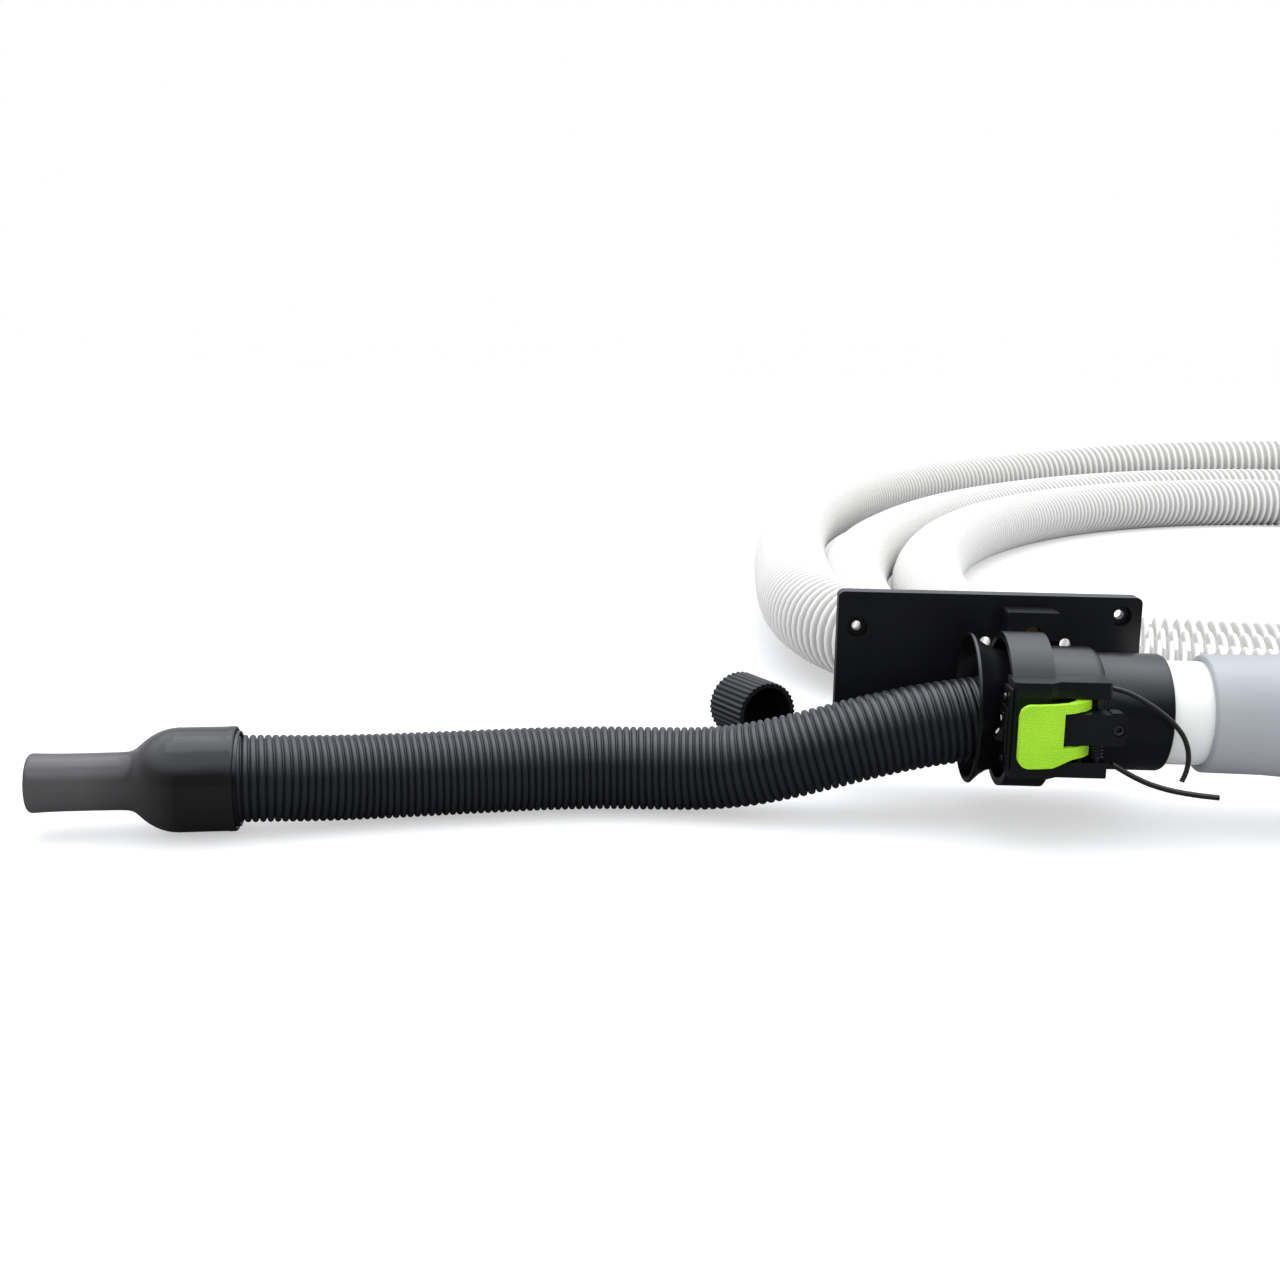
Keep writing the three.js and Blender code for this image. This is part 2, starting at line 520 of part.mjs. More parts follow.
// ---- origin -----------------------------------------------------------------------------------------
const FLEXIBLE = [
  'suction_hose', 'hose_end_collar', 'nozzle_cuff', 'storage_hose_run', 'storage_hose_coil', 'lead_upper',
  'lead_lower',
];
const rigidBox = new THREE.Box3();
for (const mesh of model.children) {
  if (!FLEXIBLE.includes(mesh.name)) {
    rigidBox.expandByObject(mesh);
  }
}
const middle = rigidBox.getCenter(new THREE.Vector3()).multiplyScalar(10).round().divideScalar(10);
model.position.set(-middle.x, -middle.y, 0);

export default model;
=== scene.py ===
"""Looks of the retractable vacuum hose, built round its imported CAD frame. Metres, +Z up."""

import json
import math

import bpy
import numpy as np
from mathutils import Matrix, Vector


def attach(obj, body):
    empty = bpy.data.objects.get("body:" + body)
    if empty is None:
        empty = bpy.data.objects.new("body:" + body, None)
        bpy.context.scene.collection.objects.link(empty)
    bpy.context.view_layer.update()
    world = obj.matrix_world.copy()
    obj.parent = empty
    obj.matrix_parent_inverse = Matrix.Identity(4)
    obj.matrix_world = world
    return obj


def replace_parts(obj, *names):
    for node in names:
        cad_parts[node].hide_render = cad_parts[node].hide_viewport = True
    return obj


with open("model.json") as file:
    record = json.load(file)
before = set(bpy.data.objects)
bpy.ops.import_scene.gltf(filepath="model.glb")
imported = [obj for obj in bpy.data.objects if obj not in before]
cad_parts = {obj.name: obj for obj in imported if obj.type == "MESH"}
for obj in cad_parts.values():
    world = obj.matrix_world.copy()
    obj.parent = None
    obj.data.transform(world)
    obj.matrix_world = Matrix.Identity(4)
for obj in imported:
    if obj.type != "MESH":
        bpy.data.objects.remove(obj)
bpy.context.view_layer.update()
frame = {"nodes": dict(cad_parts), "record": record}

MM = 0.001
# Routes and places are measured from the middle of the plate's front face, and moved by HOME.
HOME = (-0.0277, -0.01, 0.0)
scene = bpy.context.scene
nodes_of = frame["nodes"]


# ---- camera ------------------------------------------------------------------------------
CAMERA = {"place": (-0.1685, -0.7447, 0.2189), "lens": 42.59, "yaw": -2.32, "pitch": 11.2, "roll": 0.94}


def make_camera():
    data = bpy.data.cameras.new("camera")
    data.lens = CAMERA["lens"]
    data.sensor_width = 36
    data.clip_start = 0.01
    data.clip_end = 60
    yaw, pitch, roll = (math.radians(CAMERA[key]) for key in ("yaw", "pitch", "roll"))
    ahead = Vector((math.sin(yaw) * math.cos(pitch), math.cos(yaw) * math.cos(pitch), -math.sin(pitch)))
    level = Vector((math.cos(yaw), -math.sin(yaw), 0))
    above = level.cross(ahead)
    right = level * math.cos(roll) + above * math.sin(roll)
    up = above * math.cos(roll) - level * math.sin(roll)
    turn = Matrix((right, up, -ahead)).transposed().to_4x4()
    camera = bpy.data.objects.new("camera", data)
    camera.matrix_world = Matrix.Translation(CAMERA["place"]) @ turn
    scene.collection.objects.link(camera)
    scene.camera = camera


make_camera()


# ---- mesh helpers --------------------------------------------------------------------------
def mesh_object(name, points, faces):
    mesh = bpy.data.meshes.new(name)
    mesh.from_pydata([tuple(p) for p in points], [], [tuple(f) for f in faces])
    mesh.update()
    mesh.shade_smooth()
    piece = bpy.data.objects.new(name, mesh)
    scene.collection.objects.link(piece)
    return piece


def evenly(line, step):
    """The same line with points about one step apart."""
    line = np.asarray(line, float)
    run = np.concatenate([[0], np.cumsum(np.linalg.norm(np.diff(line, axis=0), axis=1))])
    places = np.linspace(0, run[-1], max(2, int(round(run[-1] / step)) + 1))
    return np.column_stack([np.interp(places, run, line[:, i]) for i in range(3)])


def smooth_line(route, step=0.002):
    """Points along a centripetal Catmull-Rom curve through a route."""
    p = np.array(route, float)
    p = np.vstack([2 * p[0] - p[1], p, 2 * p[-1] - p[-2]])
    t = np.linspace(0, 1, 24, endpoint=False)[:, None]
    stretches = []
    for a, b, c, d in zip(p, p[1:], p[2:], p[3:]):
        before, here, after = (np.linalg.norm(v) ** 0.5 for v in (b - a, c - b, d - c))
        leave = ((b - a) / before - (c - a) / (before + here) + (c - b) / here) * here
        arrive = ((c - b) / here - (d - b) / (here + after) + (d - c) / after) * here
        curve = b + leave * t + (3 * (c - b) - 2 * leave - arrive) * t**2
        stretches.append(curve + (2 * (b - c) + leave + arrive) * t**3)
    return evenly(np.vstack([*stretches, p[-2][None]]), step)


def placed(route):
    return [tuple(a + b for a, b in zip(point, HOME)) for point in route]


def sections(line):
    """Distance along a line, and two directions across it that never twist."""
    run = np.concatenate([[0], np.cumsum(np.linalg.norm(np.diff(line, axis=0), axis=1))])
    ahead = np.gradient(line, axis=0)
    ahead /= np.linalg.norm(ahead, axis=1)[:, None]
    across = np.cross(ahead[0], (0, 0, 1.0))
    across /= np.linalg.norm(across)
    sides = []
    for direction in ahead:
        across = across - direction * (across @ direction)
        across /= np.linalg.norm(across)
        sides.append(across)
    sides = np.array(sides)
    return run, sides, np.cross(ahead, sides)


def wound_tube(name, line, radius, pitch, profile, around):
    """A tube wound from one ribbed strip. pitch holds the rib spacing at each point of the line,
    and profile the depth below the radius of each row across one rib."""
    run, side, top = sections(line)
    count = np.concatenate([[0], np.cumsum(np.diff(run) / ((pitch[1:] + pitch[:-1]) / 2))])
    rows = len(profile)
    last = int(count[-1] * around)
    k = np.arange(last + 1)
    points = []
    for row, depth in enumerate(profile):
        place = np.interp(k / around + row / rows, count, run)
        angle = 2 * np.pi * k / around
        centre, u, v = (np.column_stack([np.interp(place, run, a[:, i]) for i in range(3)])
                        for a in (line, side, top))
        reach = radius - depth
        points.append(centre + reach * (u * np.cos(angle)[:, None] + v * np.sin(angle)[:, None]))
    total = last + 1
    faces = []
    for row in range(rows):
        shift = around if row == rows - 1 else 0
        a = np.arange(last - shift)
        here = row * total + a
        there = ((row + 1) % rows) * total + a + shift
        faces.append(np.column_stack([here, there, there + 1, here + 1]))
    tube = mesh_object(name, np.vstack(points), np.vstack(faces).tolist())
    # Each row's depth as a share of the deepest, kept as the mask for painted shade in the grooves.
    groove_shade = tube.data.attributes.new("groove_shade", "FLOAT", "POINT")
    groove_shade.data.foreach_set("value", np.repeat(np.array(profile) / max(profile), total))
    return tube


def lathe(name, profile, place, around=96):
    """A closed turned piece from (radius, distance along local X) pairs in millimetres."""
    angle = 2 * np.pi * np.arange(around) / around
    across, up = np.cos(angle), np.sin(angle)
    rings = [MM * np.column_stack([np.full(around, x), r * across, r * up]) for r, x in profile]
    rows = len(profile)
    faces = []
    for row in range(rows):
        a, b = row * around, ((row + 1) % rows) * around
        for i in range(around):
            j = (i + 1) % around
            faces.append((a + i, a + j, b + j, b + i))
    piece = mesh_object(name, np.vstack(rings), faces)
    piece.data.transform(place)
    return piece


# ---- finishes ------------------------------------------------------------------------------
def finish_start(name):
    material = bpy.data.materials.new(name)
    material.use_nodes = True
    return material, material.node_tree.nodes, material.node_tree.links


def noise(material, scale, detail=2.0, roughness=0.5, kind="ShaderNodeTexNoise"):
    """The output of a procedural texture in object coordinates."""
    nodes, links = material.node_tree.nodes, material.node_tree.links
    places = nodes.get("places") or nodes.new("ShaderNodeTexCoord")
    places.name = "places"
    texture = nodes.new(kind)
    texture.inputs["Scale"].default_value = scale
    if kind == "ShaderNodeTexNoise":
        texture.inputs["Detail"].default_value = detail
        texture.inputs["Roughness"].default_value = roughness
    links.new(places.outputs["Object"], texture.inputs["Vector"])
    return texture.outputs[0]


def blend_colours(material, factor, first, second, low=0.3, high=0.7):
    """The first colour where the factor is below low, the second above high, and a blend between."""
    nodes, links = material.node_tree.nodes, material.node_tree.links
    ramp = nodes.new("ShaderNodeValToRGB")
    ramp.color_ramp.elements[0].position = low
    ramp.color_ramp.elements[0].color = (*first, 1)
    ramp.color_ramp.elements[1].position = high
    ramp.color_ramp.elements[1].color = (*second, 1)
    links.new(factor, ramp.inputs["Fac"])
    return ramp.outputs["Color"]


def remap(material, value, low, high):
    nodes, links = material.node_tree.nodes, material.node_tree.links
    node = nodes.new("ShaderNodeMapRange")
    node.inputs["To Min"].default_value = low
    node.inputs["To Max"].default_value = high
    links.new(value, node.inputs["Value"])
    return node.outputs["Result"]


def add_bump(material, height, distance, strength=1.0):
    nodes, links = material.node_tree.nodes, material.node_tree.links
    bump = nodes.new("ShaderNodeBump")
    bump.inputs["Distance"].default_value = distance
    bump.inputs["Strength"].default_value = strength
    links.new(height, bump.inputs["Height"])
    return bump.outputs["Normal"]


def moulded(name, dark, light, rough, grain=2600, depth=0.00003, specular=0.5, metallic=0.0):
    """A moulded surface: slow colour drift, uneven gloss and a fine grain."""
    material, nodes, links = finish_start(name)
    shader = nodes["Principled BSDF"]
    drift = noise(material, 28, 4, 0.6)
    links.new(blend_colours(material, drift, dark, light), shader.inputs["Base Color"])
    links.new(remap(material, noise(material, 60, 3, 0.6), *rough), shader.inputs["Roughness"])
    links.new(add_bump(material, noise(material, grain, 2, 0.5), depth), shader.inputs["Normal"])
    shader.inputs["Specular IOR Level"].default_value = specular
    shader.inputs["Metallic"].default_value = metallic
    return material


def ribbed(name, crest, groove_shade, full_depth, rough, specular, grain):
    """A corrugated surface with painted shade in its grooves: the colour darkens from the crest colour to the
    shade colour with depth, reaching the shade colour from full_depth down, as a share of the groove.
    """
    material, nodes, links = finish_start(name)
    shader = nodes["Principled BSDF"]
    depth = nodes.new("ShaderNodeAttribute")
    depth.attribute_name = "groove_shade"
    # Painted shade: the grooves are darkened by their depth, standing in for the shadow in them.
    links.new(blend_colours(material, depth.outputs["Fac"], crest, groove_shade, 0.0, full_depth),
              shader.inputs["Base Color"])
    links.new(remap(material, noise(material, 60, 3, 0.6), *rough), shader.inputs["Roughness"])
    links.new(add_bump(material, noise(material, grain, 2, 0.5), 0.00004), shader.inputs["Normal"])
    shader.inputs["Specular IOR Level"].default_value = specular
    return material


def lime_grain():
    """Lime plastic with a leather-like moulded grain."""
    material, nodes, links = finish_start("lime_grain")
    shader = nodes["Principled BSDF"]
    cells = noise(material, 1400, kind="ShaderNodeTexVoronoi")
    drift = noise(material, 60, 2, 0.5)
    lime = blend_colours(material, drift, (0.34, 0.72, 0.008), (0.4, 0.79, 0.014))
    links.new(lime, shader.inputs["Base Color"])
    links.new(remap(material, drift, 0.4, 0.5), shader.inputs["Roughness"])
    links.new(add_bump(material, cells, 0.0005, 0.8), shader.inputs["Normal"])
    return material


def smoky_vinyl():
    """Smoky vinyl with painted light: lighter at the tip end, standing in for light through the thin vinyl,
    and darker over the hose end in the dome.
    """
    material, nodes, links = finish_start("smoke_vinyl")
    shader = nodes["Principled BSDF"]
    places = nodes.new("ShaderNodeTexCoord")
    split = nodes.new("ShaderNodeSeparateXYZ")
    links.new(places.outputs["Generated"], split.inputs["Vector"])
    # Painted light: the colour runs from a lighter tip to a darker dome, in place of light showing through
    # the vinyl.
    tip, dome = (0.075, 0.071, 0.073), (0.009, 0.0088, 0.0095)
    painted_light_ramp = blend_colours(material, split.outputs["X"], tip, dome, 0.3, 0.75)
    links.new(painted_light_ramp, shader.inputs["Base Color"])
    links.new(remap(material, noise(material, 60, 3, 0.6), 0.13, 0.19), shader.inputs["Roughness"])
    links.new(add_bump(material, noise(material, 45, 2, 0.5), 0.0004), shader.inputs["Normal"])
    shader.inputs["Specular IOR Level"].default_value = 0.35
    return material


FINISHES = {
    "black_plastic": moulded("black_satin", (0.0035, 0.0038, 0.0046), (0.0055, 0.006, 0.0072), (0.25, 0.35),
                             specular=0.4),
    "gloss_black": moulded("black_gloss", (0.003, 0.0032, 0.0038), (0.005, 0.0053, 0.0062), (0.18, 0.27),
                           grain=1800, depth=0.00001, specular=0.45),
    "lime_plastic": lime_grain(),
    "white_pipe": moulded("white_pipe", (0.84, 0.84, 0.83), (0.88, 0.88, 0.87), (0.3, 0.4), grain=900,
                          depth=0.00002),
    # The white hose's second colour is painted shade, for the shadow in its grooves.
    "white_hose": ribbed("white_hose", (0.8, 0.795, 0.785), (0.52, 0.51, 0.495), 0.4, (0.42, 0.55), 0.35,
                         700),
    "grey_plastic": moulded("grey_cuff", (0.35, 0.365, 0.395), (0.39, 0.405, 0.435), (0.38, 0.48)),
    "smoke_vinyl": smoky_vinyl(),
    # The black hose's second colour is painted shade, for the shadow in its grooves.
    "black_hose": ribbed("black_hose", (0.012, 0.0135, 0.0165), (0.003, 0.0033, 0.004), 0.9, (0.3, 0.42), 0.5,
                         1600),
    "black_rubber": moulded("black_rubber", (0.008, 0.008, 0.008), (0.014, 0.014, 0.014), (0.7, 0.85)),
    "lead_jacket": moulded("lead_jacket", (0.008, 0.008, 0.009), (0.014, 0.014, 0.015), (0.35, 0.5)),
    "dark_steel": moulded("dark_steel", (0.09, 0.092, 0.1), (0.16, 0.165, 0.18), (0.26, 0.4), metallic=1.0),
    "brass_screw": moulded("brass_screw", (0.36, 0.22, 0.08), (0.56, 0.37, 0.15), (0.28, 0.45), metallic=1.0),
}


def dress(piece, slot_name, body):
    piece.data.materials.clear()
    piece.data.materials.append(FINISHES[slot_name])
    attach(piece, body)
    return piece


# ---- suction hose --------------------------------------------------------------------------
HOSE_RADIUS = 0.0196
HOSE_ROUTE = [
    (0.086, -0.04, 0.0524), (0.064, -0.04, 0.0524), (0.042, -0.04, 0.0523), (0.022, -0.0402, 0.0514),
    (0.002, -0.0408, 0.0496), (-0.018, -0.042, 0.0472), (-0.038, -0.0436, 0.044), (-0.058, -0.0452, 0.0396),
    (-0.078, -0.0464, 0.0342), (-0.098, -0.0466, 0.0286), (-0.118, -0.0454, 0.0238),
    (-0.138, -0.0434, 0.0209),
    (-0.162, -0.0426, 0.02), (-0.188, -0.0442, 0.02), (-0.212, -0.0484, 0.02), (-0.236, -0.0544, 0.02),
    (-0.262, -0.0616, 0.02), (-0.288, -0.0696, 0.0203), (-0.312, -0.0789, 0.0215), (-0.332, -0.0864, 0.023),
    (-0.35, -0.0911, 0.0236), (-0.369, -0.0947, 0.0237),
]
# Rib spacing against the distance along the hose: it is stretched more where it leaves the inlet.
HOSE_PITCHES = [(0, 0.0039), (0.13, 0.00385), (0.22, 0.0036), (0.3, 0.00335), (0.36, 0.00325), (0.47, 0.0033)]
HOSE_GROOVE = 0.0019
NOZZLE = {"place": (-0.3737, -0.1005, 0.0237), "turn": math.radians(10.5)}


def suction_hose():
    line = smooth_line(placed(HOSE_ROUTE))
    run = sections(line)[0]
    pitch = np.interp(run, *zip(*HOSE_PITCHES))
    rows = 8
    profile = [HOSE_GROOVE * (1 - math.sin(math.pi * i / rows) ** 0.45) for i in range(rows)]
    hose = wound_tube("suction_hose_ribbed", line, HOSE_RADIUS, pitch, profile, 48)
    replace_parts(dress(hose, "black_hose", "hose"), "suction_hose")
    return hose, line


def along_nozzle():
    return Matrix.Translation(NOZZLE["place"]) @ Matrix.Rotation(NOZZLE["turn"], 4, "Z")


def nozzle_cuff():
    profile = [
        (22.4, 0), (22.9, 0.15), (23.3, -0.3), (23.45, -0.9), (23.45, -3.2), (23.3, -3.7),
        (23.3, -24.6), (23.35, -24.9), (23.35, -25.3), (23.25, -25.8), (23.1, -28), (22.65, -30.2),
        (21.9, -32.6), (20.8, -35), (19.4, -37.4), (17.7, -39.7), (15.9, -41.7), (14.5, -43.3),
        (13.6, -44.9), (13.05, -47), (12.85, -51), (12.75, -62), (12.75, -74), (12.9, -82),
        (13.1, -86), (13.15, -87.4), (12.9, -88.4), (12.3, -89), (11.5, -89), (11.0, -88.6),
        (10.8, -87.6), (10.6, -80), (10.6, -47), (11.4, -44.4), (13.4, -41), (15.8, -37.6),
        (17.2, -34), (17.4, -31), (17.4, -27), (21.8, -27), (21.8, -1), (22.1, -0.2),
    ]
    cuff = lathe("nozzle_cuff_vinyl", profile, along_nozzle())
    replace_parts(dress(cuff, "smoke_vinyl", "hose"), "nozzle_cuff")
    return cuff


def end_collar():
    profile = [(21.3, 1.6), (21.4, 1.2), (21.4, -13), (20.5, -13), (20.5, 1.4), (20.9, 1.8)]
    collar = lathe("hose_end_clip", profile, along_nozzle())
    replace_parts(dress(collar, "gloss_black", "hose"), "hose_end_collar")
    return collar


# ---- storage hose --------------------------------------------------------------------------
STORE_RADIUS = 0.029
STORE_ROUTE = [
    (0.1903, -0.04, 0.053), (0.204, -0.04, 0.053), (0.222, -0.04, 0.0524), (0.242, -0.04, 0.0504),
    (0.262, -0.04, 0.047), (0.284, -0.04, 0.0426), (0.306, -0.04, 0.0382), (0.328, -0.04, 0.0344),
    (0.352, -0.04, 0.0314), (0.378, -0.04, 0.0296), (0.406, -0.04, 0.029), (0.44, -0.04, 0.029),
    (0.48, -0.04, 0.029), (0.52, -0.04, 0.029), (0.56, -0.04, 0.029), (0.594, -0.04, 0.029),
]
# The turns lie round one middle. Each has where it crosses the middle's two axes and how square it is.
COIL = {"x": 0.594, "y": 0.35, "squareness": 2.4}
TURNS = [
    {"near": -0.04, "right": 1.264, "far": 1.365, "left": -0.072, "far_power": 2.35, "near_power": 2.8},
    {"near": 0.06, "right": 1.205, "far": 1.276, "left": -0.028, "far_power": 1.92, "near_power": 3.3},
    {"near": 0.117, "right": 1.146, "far": 1.223, "left": 0.033, "far_power": 1.89, "near_power": 4.5},
]
LAST_NEAR = 0.17
# Height of the hose's middle against the count of quarter turns.
COIL_HEIGHTS = [(0, 0.029), (1, 0.029), (1.8, 0.076), (2, 0.07), (2.15, 0.062), (2.3, 0.051), (2.6, 0.046),
                (3, 0.044), (3.2, 0.039), (3.6, 0.029), (5, 0.029), (5.7, 0.04), (6.1, 0.038), (6.4, 0.033),
                (6.7, 0.029), (12, 0.029)]
QUARTER_STEPS = 40
HEIGHT_BLUR = 11
# Rib spacing against Y, and the depth below the radius across one rib.
STORE_PITCHES = [(0.0, 0.0064), (0.3, 0.0068), (0.9, 0.0088), (1.3, 0.0093)]
STORE_RIB = [0.005, 0.005, 0.0046, 0.0006, 0.0, 0.0, 0.0006, 0.0046]


def quarter(start_x, start_y, end_x, end_y, power, upright):
    """A quarter oval about the coil's middle between two points on its axes, without its last point."""
    angle = np.linspace(0, math.pi / 2, QUARTER_STEPS, endpoint=False)
    first, second = np.cos(angle) ** (2 / power), np.sin(angle) ** (2 / power)
    middle = np.array([COIL["x"], COIL["y"]])
    if upright:
        reach = np.column_stack([(end_x - COIL["x"]) * second, (start_y - COIL["y"]) * first])
    else:
        reach = np.column_stack([(start_x - COIL["x"]) * first, (end_y - COIL["y"]) * second])
    return middle + reach


def coil_line():
    """The storage hose's turns, each of four quarter ovals, from the end of its straight run."""
    plan = []
    nears = [turn["near"] for turn in TURNS] + [LAST_NEAR]
    for turn, near, next_near in zip(TURNS, nears, nears[1:]):
        plan.append(quarter(COIL["x"], near, turn["right"], COIL["y"], COIL["squareness"], True))
        plan.append(quarter(turn["right"], COIL["y"], COIL["x"], turn["far"], 2, False))
        plan.append(quarter(COIL["x"], turn["far"], turn["left"], COIL["y"], turn["far_power"], True))
        plan.append(quarter(turn["left"], COIL["y"], COIL["x"], next_near, turn["near_power"], False))
    flat = np.vstack(plan)
    height = np.interp(np.arange(len(flat)) / QUARTER_STEPS, *zip(*COIL_HEIGHTS))
    window = np.hanning(HEIGHT_BLUR + 2)[1:-1]
    height = np.convolve(np.pad(height, HEIGHT_BLUR // 2, "edge"), window / window.sum(), "valid")
    return np.column_stack([flat, height]) + HOME


def storage_line():
    run = smooth_line(placed(STORE_ROUTE))
    return evenly(np.vstack([run[:-1], smooth_line(evenly(coil_line(), 0.03))]), 0.004)


def storage_hose():
    line = storage_line()
    pitch = np.interp(line[:, 1], *zip(*STORE_PITCHES))
    hose = wound_tube("storage_hose_ribbed", line, STORE_RADIUS, pitch, STORE_RIB, 24)
    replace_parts(dress(hose, "white_hose", "inlet"), "storage_hose_run", "storage_hose_coil")
    return hose, line


# ---- switch leads --------------------------------------------------------------------------
LEAD_RADIUS = 0.00125
UPPER_LEAD = [
    (0.0413, -0.072, 0.071), (0.045, -0.0722, 0.0704), (0.049, -0.0723, 0.0692), (0.053, -0.0723, 0.0674),
    (0.057, -0.0721, 0.0652), (0.061, -0.0719, 0.0628), (0.065, -0.0716, 0.06), (0.069, -0.0712, 0.0568),
    (0.0726, -0.0709, 0.0532), (0.0756, -0.0706, 0.0492), (0.0776, -0.0704, 0.0448),
    (0.0786, -0.0703, 0.0404),
    (0.0786, -0.0703, 0.036), (0.0778, -0.0704, 0.032), (0.0764, -0.0706, 0.0284),
]
LOWER_LEAD = [
    (0.0413, -0.072, 0.037), (0.0446, -0.0722, 0.036), (0.0484, -0.0726, 0.034), (0.0524, -0.073, 0.0318),
    (0.0566, -0.0734, 0.0298), (0.061, -0.0738, 0.028), (0.0656, -0.074, 0.0266), (0.0704, -0.0742, 0.0254),
    (0.0752, -0.0742, 0.0245), (0.08, -0.0742, 0.0238), (0.0846, -0.0741, 0.0232), (0.089, -0.074, 0.0228),
    (0.0924, -0.074, 0.0225),
]


def lead(name, route, node, rib_pitch, rib_depth):
    line = smooth_line(placed(route), 0.0005)
    pitch = np.full(len(line), rib_pitch)
    profile = [rib_depth, rib_depth * 0.3, 0, rib_depth * 0.3]
    piece = dress(wound_tube(name, line, LEAD_RADIUS, pitch, profile, 14), "lead_jacket", "inlet")
    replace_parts(piece, node)


def make_cords():
    hose, hose_path = suction_hose()
    nozzle_cuff()
    end_collar()
    store, store_path = storage_hose()
    lead("lead_upper_braided", UPPER_LEAD, "lead_upper", 0.0012, 0.0003)
    lead("lead_lower_sleeved", LOWER_LEAD, "lead_lower", 0.004, 0.00003)


make_cords()


# ---- CAD nodes that show --------------------------------------------------------------------
BEVELS = {
    "mount_plate": 0.0009, "post_screw": 0.0002, "bell_mouth": 0.0003, "inlet_barrel": 0.0004,
    "pipe_seal": 0.0002, "pipe_stub": 0.0003, "pipe_cuff": 0.0004, "latch_housing": 0.0011,
    "lever_shaft": 0.0002, "paddle_pin": 0.0002, "switch_plate": 0.0003, "switch_screw_lower": 0.0001,
    "switch_screw_upper": 0.0001, "switch_body": 0.0003, "switch_rocker": 0.0004, "brake_paddle": 0.0011,
    "brake_lever": 0.0012, "set_screw": 0.0002, "brake_pad": 0.0003, "return_spring": 0.0,
    "knurled_cap": 0.0002,
}


SLOTS = {part["node"]: part["material_slot"] for part in frame["record"]["subparts"]}


def dress_node(name, width):
    node = nodes_of[name]
    node.data.materials.clear()
    node.data.materials.append(FINISHES[SLOTS[name]])
    if node.data.attributes.get("custom_normal"):
        node.data.attributes.remove(node.data.attributes["custom_normal"])
    node.data.shade_smooth()
    weld = node.modifiers.new("weld", "WELD")
    weld.merge_threshold = 0.000002
    if width:
        bevel = node.modifiers.new("bevel", "BEVEL")
        bevel.width = width
        bevel.segments = 3
        bevel.limit_method = "ANGLE"
        bevel.angle_limit = math.radians(32)
        bevel.harden_normals = True
        bevel.use_clamp_overlap = True


for node_name, bevel_width in BEVELS.items():
    dress_node(node_name, bevel_width)


# ---- marks on the rocker ----------------------------------------------------------------------
ROCKER = {"pivot": (-0.0008, -0.0747, 0.0526), "tip": math.radians(12), "face": 0.0063, "spread": 0.0031}
MARK_RADIUS = 0.0011
MARK_WIRE = 0.00022
# The rocker's face is bent: each half leans 2.2 mm over 6.3 mm.
LEAN = math.atan2(2.2, 6.3)


def ring_mark(name, half_width, half_height, lean, middle):
    """A thin closed wire loop on one half of the rocker's bent face."""
    around, section = 40, 8
    turn = 2 * np.pi * np.arange(around) / around
    small = 2 * np.pi * np.arange(section) / section
    points = []
    for a in turn:
        across, up = math.cos(a), math.sin(a)
        for b in small:
            reach = MARK_WIRE * math.cos(b)
            out = MARK_WIRE * math.sin(b)
            points.append((out, (half_width + reach) * across, (half_height + reach) * up))
    faces = []
    for i in range(around):
        for j in range(section):
            a, b = i * section, ((i + 1) % around) * section
            k = (j + 1) % section
            faces.append((a + j, b + j, b + k, a + k))
    mark = mesh_object(name, points, faces)
    on_face = Matrix.Translation((-ROCKER["face"], 0, middle)) @ Matrix.Rotation(lean, 4, "Y")
    pivot = Vector(ROCKER["pivot"]) + Vector(HOME)
    mark.data.transform(Matrix.Translation(pivot) @ Matrix.Rotation(ROCKER["tip"], 4, "Y") @ on_face)
    dress(mark, "white_pipe", "rocker")


ring_mark("rocker_mark_on", 0.00016, MARK_RADIUS, -LEAN, ROCKER["spread"])
ring_mark("rocker_mark_off", MARK_RADIUS * 0.8, MARK_RADIUS, LEAN, -ROCKER["spread"])


# ---- floor and light -------------------------------------------------------------------------
FLOOR_GLOW = 0.48
FILL = 1.24


def make_stage():
    """A pale floor that is nearly white to the camera, with a weaker shadow and reflection of itself."""
    half = 9
    floor = mesh_object("floor", [(-half, -half, 0), (half, -half, 0), (half, half, 0), (-half, half, 0)],
                        [(0, 1, 2, 3)])
    material, nodes, links = finish_start("floor")
    shader = nodes["Principled BSDF"]
    links.new(blend_colours(material, noise(material, 2, 2), (0.52, 0.525, 0.535), (0.54, 0.545, 0.555)),
              shader.inputs["Base Color"])
    shader.inputs["Roughness"].default_value = 0.6
    shader.inputs["Specular IOR Level"].default_value = 0.2
    glow = nodes.new("ShaderNodeEmission")
    glow.inputs["Color"].default_value = (1, 1, 1, 1)
    glow.inputs["Strength"].default_value = FLOOR_GLOW
    lit = nodes.new("ShaderNodeAddShader")
    links.new(shader.outputs["BSDF"], lit.inputs[0])
    links.new(glow.outputs["Emission"], lit.inputs[1])
    ray = nodes.new("ShaderNodeLightPath")
    mix = nodes.new("ShaderNodeMixShader")
    links.new(ray.outputs["Is Camera Ray"], mix.inputs["Fac"])
    links.new(shader.outputs["BSDF"], mix.inputs[1])
    links.new(lit.outputs["Shader"], mix.inputs[2])
    dull = nodes.new("ShaderNodeBsdfDiffuse")
    dull.inputs["Color"].default_value = (0.1, 0.102, 0.108, 1)
    mirrored = nodes.new("ShaderNodeMixShader")
    links.new(ray.outputs["Is Glossy Ray"], mirrored.inputs["Fac"])
    links.new(mix.outputs["Shader"], mirrored.inputs[1])
    links.new(dull.outputs["BSDF"], mirrored.inputs[2])
    links.new(mirrored.outputs["Shader"], nodes["Material Output"].inputs["Surface"])
    floor.data.materials.append(material)


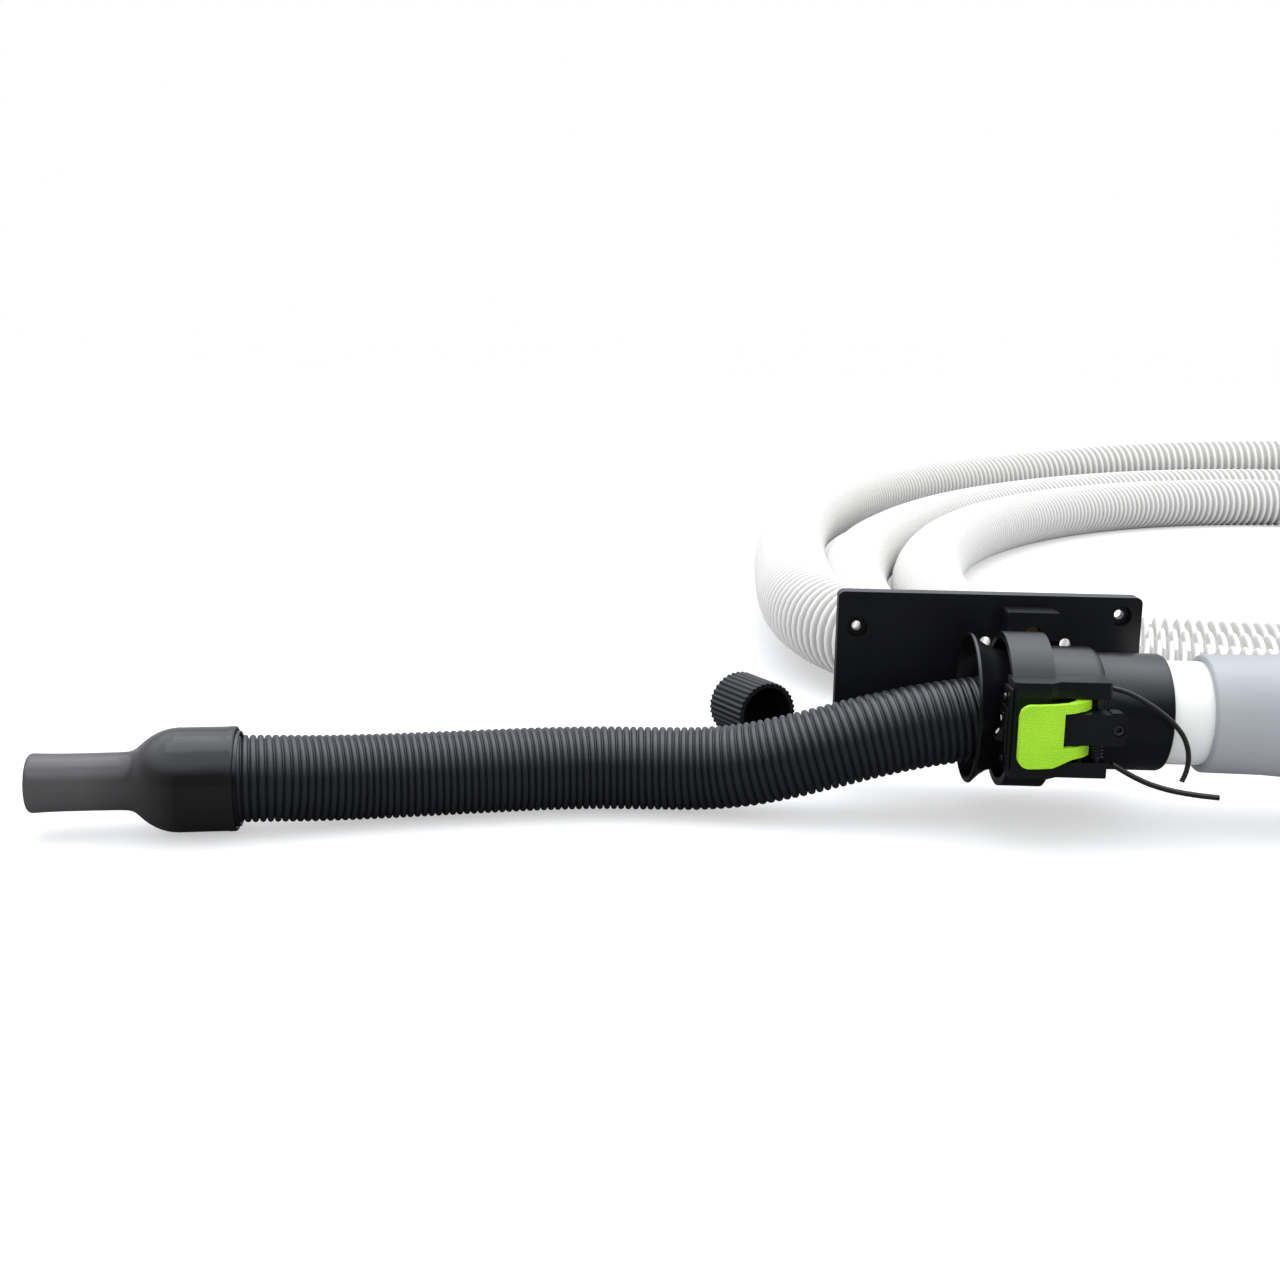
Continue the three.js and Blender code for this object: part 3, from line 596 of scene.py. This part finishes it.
def make_world():
    """White to the camera; as a light it is bright above and behind, and dim in front."""
    world = bpy.data.worlds.new("studio")
    world.use_nodes = True
    scene.world = world
    nodes, links = world.node_tree.nodes, world.node_tree.links
    backdrop = nodes["Background"]
    backdrop.inputs["Color"].default_value = (1, 1, 1, 1)
    backdrop.inputs["Strength"].default_value = 1.0
    lamp = nodes.new("ShaderNodeBackground")
    lamp.inputs["Color"].default_value = (0.89, 0.93, 1, 1)
    places = nodes.new("ShaderNodeTexCoord")
    split = nodes.new("ShaderNodeSeparateXYZ")
    links.new(places.outputs["Generated"], split.inputs["Vector"])
    behind = nodes.new("ShaderNodeMapRange")
    behind.interpolation_type = "SMOOTHSTEP"
    behind.inputs["From Min"].default_value = -0.55
    behind.inputs["From Max"].default_value = 0.35
    behind.inputs["To Min"].default_value = 0.03
    behind.inputs["To Max"].default_value = 0.75
    links.new(split.outputs["Y"], behind.inputs["Value"])
    overhead = nodes.new("ShaderNodeMapRange")
    overhead.interpolation_type = "SMOOTHSTEP"
    overhead.inputs["From Min"].default_value = 0.35
    overhead.inputs["From Max"].default_value = 0.85
    overhead.inputs["To Min"].default_value = 0.0
    overhead.inputs["To Max"].default_value = 2.2
    links.new(split.outputs["Z"], overhead.inputs["Value"])
    both = nodes.new("ShaderNodeMath")
    both.operation = "ADD"
    links.new(behind.outputs["Result"], both.inputs[0])
    links.new(overhead.outputs["Result"], both.inputs[1])
    links.new(both.outputs["Value"], lamp.inputs["Strength"])
    fill = nodes.new("ShaderNodeBackground")
    fill.inputs["Color"].default_value = (0.98, 0.99, 1, 1)
    fill.inputs["Strength"].default_value = FILL
    ray = nodes.new("ShaderNodeLightPath")
    source = nodes.new("ShaderNodeMixShader")
    links.new(ray.outputs["Is Glossy Ray"], source.inputs["Fac"])
    links.new(fill.outputs["Background"], source.inputs[1])
    links.new(lamp.outputs["Background"], source.inputs[2])
    mix = nodes.new("ShaderNodeMixShader")
    links.new(ray.outputs["Is Camera Ray"], mix.inputs["Fac"])
    links.new(source.outputs["Shader"], mix.inputs[1])
    links.new(backdrop.outputs["Background"], mix.inputs[2])
    links.new(mix.outputs["Shader"], nodes["World Output"].inputs["Surface"])


def softbox(name, place, target, size, power):
    data = bpy.data.lights.new(name, "AREA")
    data.shape = "RECTANGLE"
    data.size, data.size_y = size
    data.energy = power
    lamp = bpy.data.objects.new(name, data)
    lamp.location = place
    lamp.rotation_euler = (Vector(target) - Vector(place)).to_track_quat("-Z", "Y").to_euler()
    scene.collection.objects.link(lamp)


make_stage()
make_world()
softbox("top_light", (0.07, 0.24, 1.7), (0.07, 0.2, 0), (2.4, 1.4), 15)
scene.view_settings.view_transform = "Standard"
